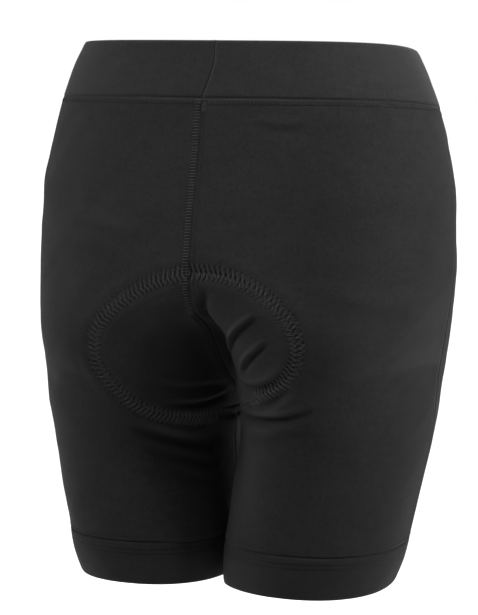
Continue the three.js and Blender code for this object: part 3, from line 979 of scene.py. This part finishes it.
padTooth = ((0, 0.4, -0.1), (1, 3.0, 0.3), (1.95, 5.7, -0.05), (2.9, 3.0, 0.3), (3.9, 0.4, -0.1))
threadTones = {
    "light": (0.02, 0.02, 0.021, 1),
    "dark": (0.0015, 0.0015, 0.0017, 1),
    "zigzag": (0.019, 0.019, 0.0195, 1),
    "soft": (0.0115, 0.0115, 0.012, 1),
}


threadLook = {"twist": 1800, "worn": 0.7, "height": 0.1, "rough": 0.5, "specular": 0.06}


def threadMaterial(tone):
    shader = Shader(bpy.data.materials.new(tone + "Thread"))
    place = shader.node("ShaderNodeTexCoord", {}, {})
    twist = shader.node(
        "ShaderNodeTexNoise", {}, {"Vector": shader.value(place, "Object"), "Scale": threadLook["twist"]}
    )
    turns = shader.value(twist, "Fac")
    colour = shader.mixed(turns, tinted(threadTones[tone], threadLook["worn"]), threadTones[tone])
    bump = shader.node("ShaderNodeBump", {}, {"Height": turns * threadLook["height"], "Distance": mm})
    thread = shader.node("ShaderNodeBsdfPrincipled", {}, {
        "Base Color": colour,
        "Normal": shader.value(bump, "Normal"),
        "Roughness": threadLook["rough"],
        "Specular IOR Level": threadLook["specular"],
    })
    return shader.finish(shader.value(thread, "BSDF"))


threadLooks = {tone: threadMaterial(tone) for tone in threadTones}


edgeSpacing = 0.8  # millimetres between the places that stand for a seam


def tellEdges(sheet):
    # how far each point lies from the middle seam, the top and the bottom, for the lines of needle holes
    distances = np.zeros((len(sheet.points), 3))
    middle = "middle" if sheet.name in panels else "join"
    for column, name in enumerate((middle, "top", "bottom")):
        seam = sheet.edge(*seamPlaces[name])
        count = int(seam.length / (edgeSpacing * mm))
        tree = KDTree(count + 1)
        for k in range(count + 1):
            tree.insert(seam.on(seam.length * k / count), k)
        tree.balance()
        distances[:, column] = [tree.find(Vector(point))[2] for point in sheet.points]
    told = sheet.object.data.attributes.new("edges", "FLOAT_VECTOR", "POINT")
    told.data.foreach_set("vector", distances.ravel())


for sheet in sheets.values():
    tellEdges(sheet)


def sew(name, lines, thread, tone):
    # all stitches of a row in one curve, turned to a mesh
    data = bpy.data.curves.new(name, "CURVE")
    data.dimensions = "3D"
    data.bevel_depth = thread / 2 * mm
    data.bevel_resolution = 0
    data.use_fill_caps = True
    for line in lines:
        spline = data.splines.new("POLY")
        spline.points.add(len(line) - 1)
        for point, place in zip(spline.points, line):
            point.co = (*place, 1)
    curve = bpy.data.objects.new(name, data)
    bpy.context.scene.collection.objects.link(curve)
    mesh = bpy.data.meshes.new_from_object(curve.evaluated_get(bpy.context.evaluated_depsgraph_get()))
    bpy.data.objects.remove(curve)
    piece = bpy.data.objects.new(name, mesh)
    bpy.context.scene.collection.objects.link(piece)
    mesh.materials.clear()
    mesh.materials.append(threadLooks[tone])
    mesh.polygons.foreach_set("use_smooth", [True] * len(mesh.polygons))
    return piece


# A row stops short of a seam's ends and wanders, in waves of two lengths. Its stitches are uneven by a share
# of the pitch.
rowDrift = {"ends": 1, "wander": 0.15, "length": 26, "turn": 60, "bend": 1.3, "uneven": 0.06}


def stitchLines(seam, row):
    chance = random.Random(row["name"] + seam.sheet.name)
    uneven = row.get("uneven", rowDrift["uneven"])
    start = row.get("from", rowDrift["ends"]) * mm
    end = row.get("to", seam.length / mm - rowDrift["ends"]) * mm
    pitch = row["pitch"] * mm
    lines = []
    for k in range(int((end - start) / pitch)):
        run = start + (k + 0.5 + chance.uniform(-uneven, uneven)) * pitch
        bend = rowDrift["bend"] * math.sin(run / (rowDrift["turn"] * mm))
        wander = row.get("wander", rowDrift["wander"]) * mm * math.sin(run / (rowDrift["length"] * mm) + bend)
        along = lambda way: min(max(run + way * mm, 0), seam.length)
        lines.append([seam.at(along(way), away * mm + wander, lift * mm) for way, away, lift in row["shape"]])
    return lines


sewn = {name: [] for name in sheets}


def sewRow(seam, row):
    name = f"{row['name']}_{seam.sheet.name}"
    sewn[seam.sheet.name].append(sew(name, stitchLines(seam, row), row["thread"], row["tone"]))


for row in stitchRows:
    for sheetName in row["sheets"]:
        sewRow(sheets[sheetName].edge(*seamPlaces[row["seam"]]), row)
for seam in padSeams:
    for name, side, start in (("padZigzagOuter", -1, padStitch["pitch"] / 2), ("padZigzagInner", 1, 0)):
        shape = tuple((way + start, away * side, lift) for way, away, lift in padTooth)
        sewRow(seam, {"name": name, "pitch": padStitch["pitch"], "shape": shape, "from": 0,
                      "to": seam.length / mm, "uneven": padStitch["uneven"],
                      "thread": padStitch["thread"], "tone": "zigzag"})
print("stitches sewn")


finishes = {
    "waistband": {"knit": "bandKnit", "thickness": 2.0, "flat": (0.66, 0.043)},
    "hem_left": {"knit": "hemKnit", "thickness": 1.8, "flat": (0.38, 0.033)},
    "hem_right": {"knit": "hemKnit", "thickness": 1.8, "flat": (0.38, 0.033)},
    "back_left": {"knit": "panelKnit", "thickness": 1.0, "flat": (0.225, 0.42), "area": 0.074},
    "back_right": {"knit": "panelKnit", "thickness": 1.0, "flat": (0.225, 0.42), "area": 0.074},
    "front_left": {"knit": "panelKnit", "thickness": 1.0, "flat": (0.19, 0.395), "area": 0.061},
    "front_right": {"knit": "panelKnit", "thickness": 1.0, "flat": (0.19, 0.395), "area": 0.061},
}
looks = {
    "panelKnit": knitMaterial("panelKnit", hasPad=True),
    "bandKnit": knitMaterial("bandKnit"),
    "hemKnit": knitMaterial("hemKnit"),
}

for name, sheet in sheets.items():
    finish = finishes[name]
    piece = sheet.object
    piece.data.materials.clear()
    piece.data.materials.append(looks[finish["knit"]])
    piece.data.polygons.foreach_set("use_smooth", [True] * len(piece.data.polygons))
    wall = piece.modifiers.new("wall", "SOLIDIFY")
    wall.thickness = finish["thickness"] * mm
    wall.offset = -1
    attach(piece, "root")
    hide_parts(name)
    for stitching in sewn[name]:
        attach(stitching, "root")


padShape = {"voxel": 2.2, "smoothing": 6, "neighbours": 4, "fill": 0.7}


def giveWay(mesh):
    # the foam follows the cloth wherever a fold or the seam presses it in
    shifts = np.concatenate([sheets[name].points - sheets[name].unpushed for name in panels])
    starts = np.concatenate([sheets[name].unpushed for name in panels])
    tree = KDTree(len(starts))
    for index, start in enumerate(starts):
        tree.insert(Vector(start), index)
    tree.balance()
    for vertex in mesh.vertices:
        near = tree.find_n(vertex.co, padShape["neighbours"])
        vertex.co += Vector(np.mean([shifts[index] for spot, index, distance in near], axis=0))


def addPad():
    built = bmesh.new()
    built.from_mesh(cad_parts["seat_pad"].data)
    bmesh.ops.remove_doubles(built, verts=built.verts, dist=mergeReach)
    pad = addMesh("seat_pad_foam", built)
    remesh = pad.modifiers.new("even", "REMESH")
    remesh.mode = "VOXEL"
    remesh.voxel_size = padShape["voxel"] * mm
    relax = pad.modifiers.new("relax", "SMOOTH")
    relax.iterations = padShape["smoothing"]
    mesh = bpy.data.meshes.new_from_object(pad.evaluated_get(bpy.context.evaluated_depsgraph_get()))
    pad.modifiers.clear()
    pad.data = mesh
    giveWay(mesh)
    mesh.materials.clear()
    mesh.materials.append(knitMaterial("padCover", isSheet=False))
    mesh.polygons.foreach_set("use_smooth", [True] * len(mesh.polygons))
    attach(pad, "root")
    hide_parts("seat_pad")


addPad()
addCamera()
addRoom()
